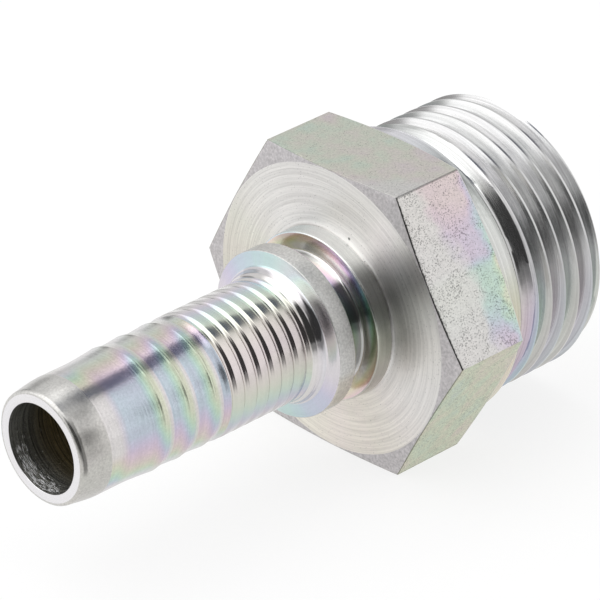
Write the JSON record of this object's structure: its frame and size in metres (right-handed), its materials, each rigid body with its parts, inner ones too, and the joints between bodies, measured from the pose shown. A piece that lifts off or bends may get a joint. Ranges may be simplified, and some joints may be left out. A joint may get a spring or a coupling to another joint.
{
  "type": "hose insert",
  "caption": "Turned steel hose insert: barbed and grooved tail, collar with ferrule groove, hexagon, and a male thread with a cone mouth for a tube.",
  "frame": {"origin": "on the axis at the flat face of the tail's tip", "axes": "+X along the axis from the tail's tip to the threaded end, +Z normal to the hexagon's upper flat, +Y completes the right-handed frame and points to a corner of the hexagon"},
  "size_m": [0.0645, 0.037, 0.032],
  "materials": {
    "zinc_plated_steel": "turned steel with bright zinc plating and a faint rainbow passivation"
  },
  "bodies": {
    "root": {"hose_insert": "zinc_plated_steel"}
  },
  "joints": []
}
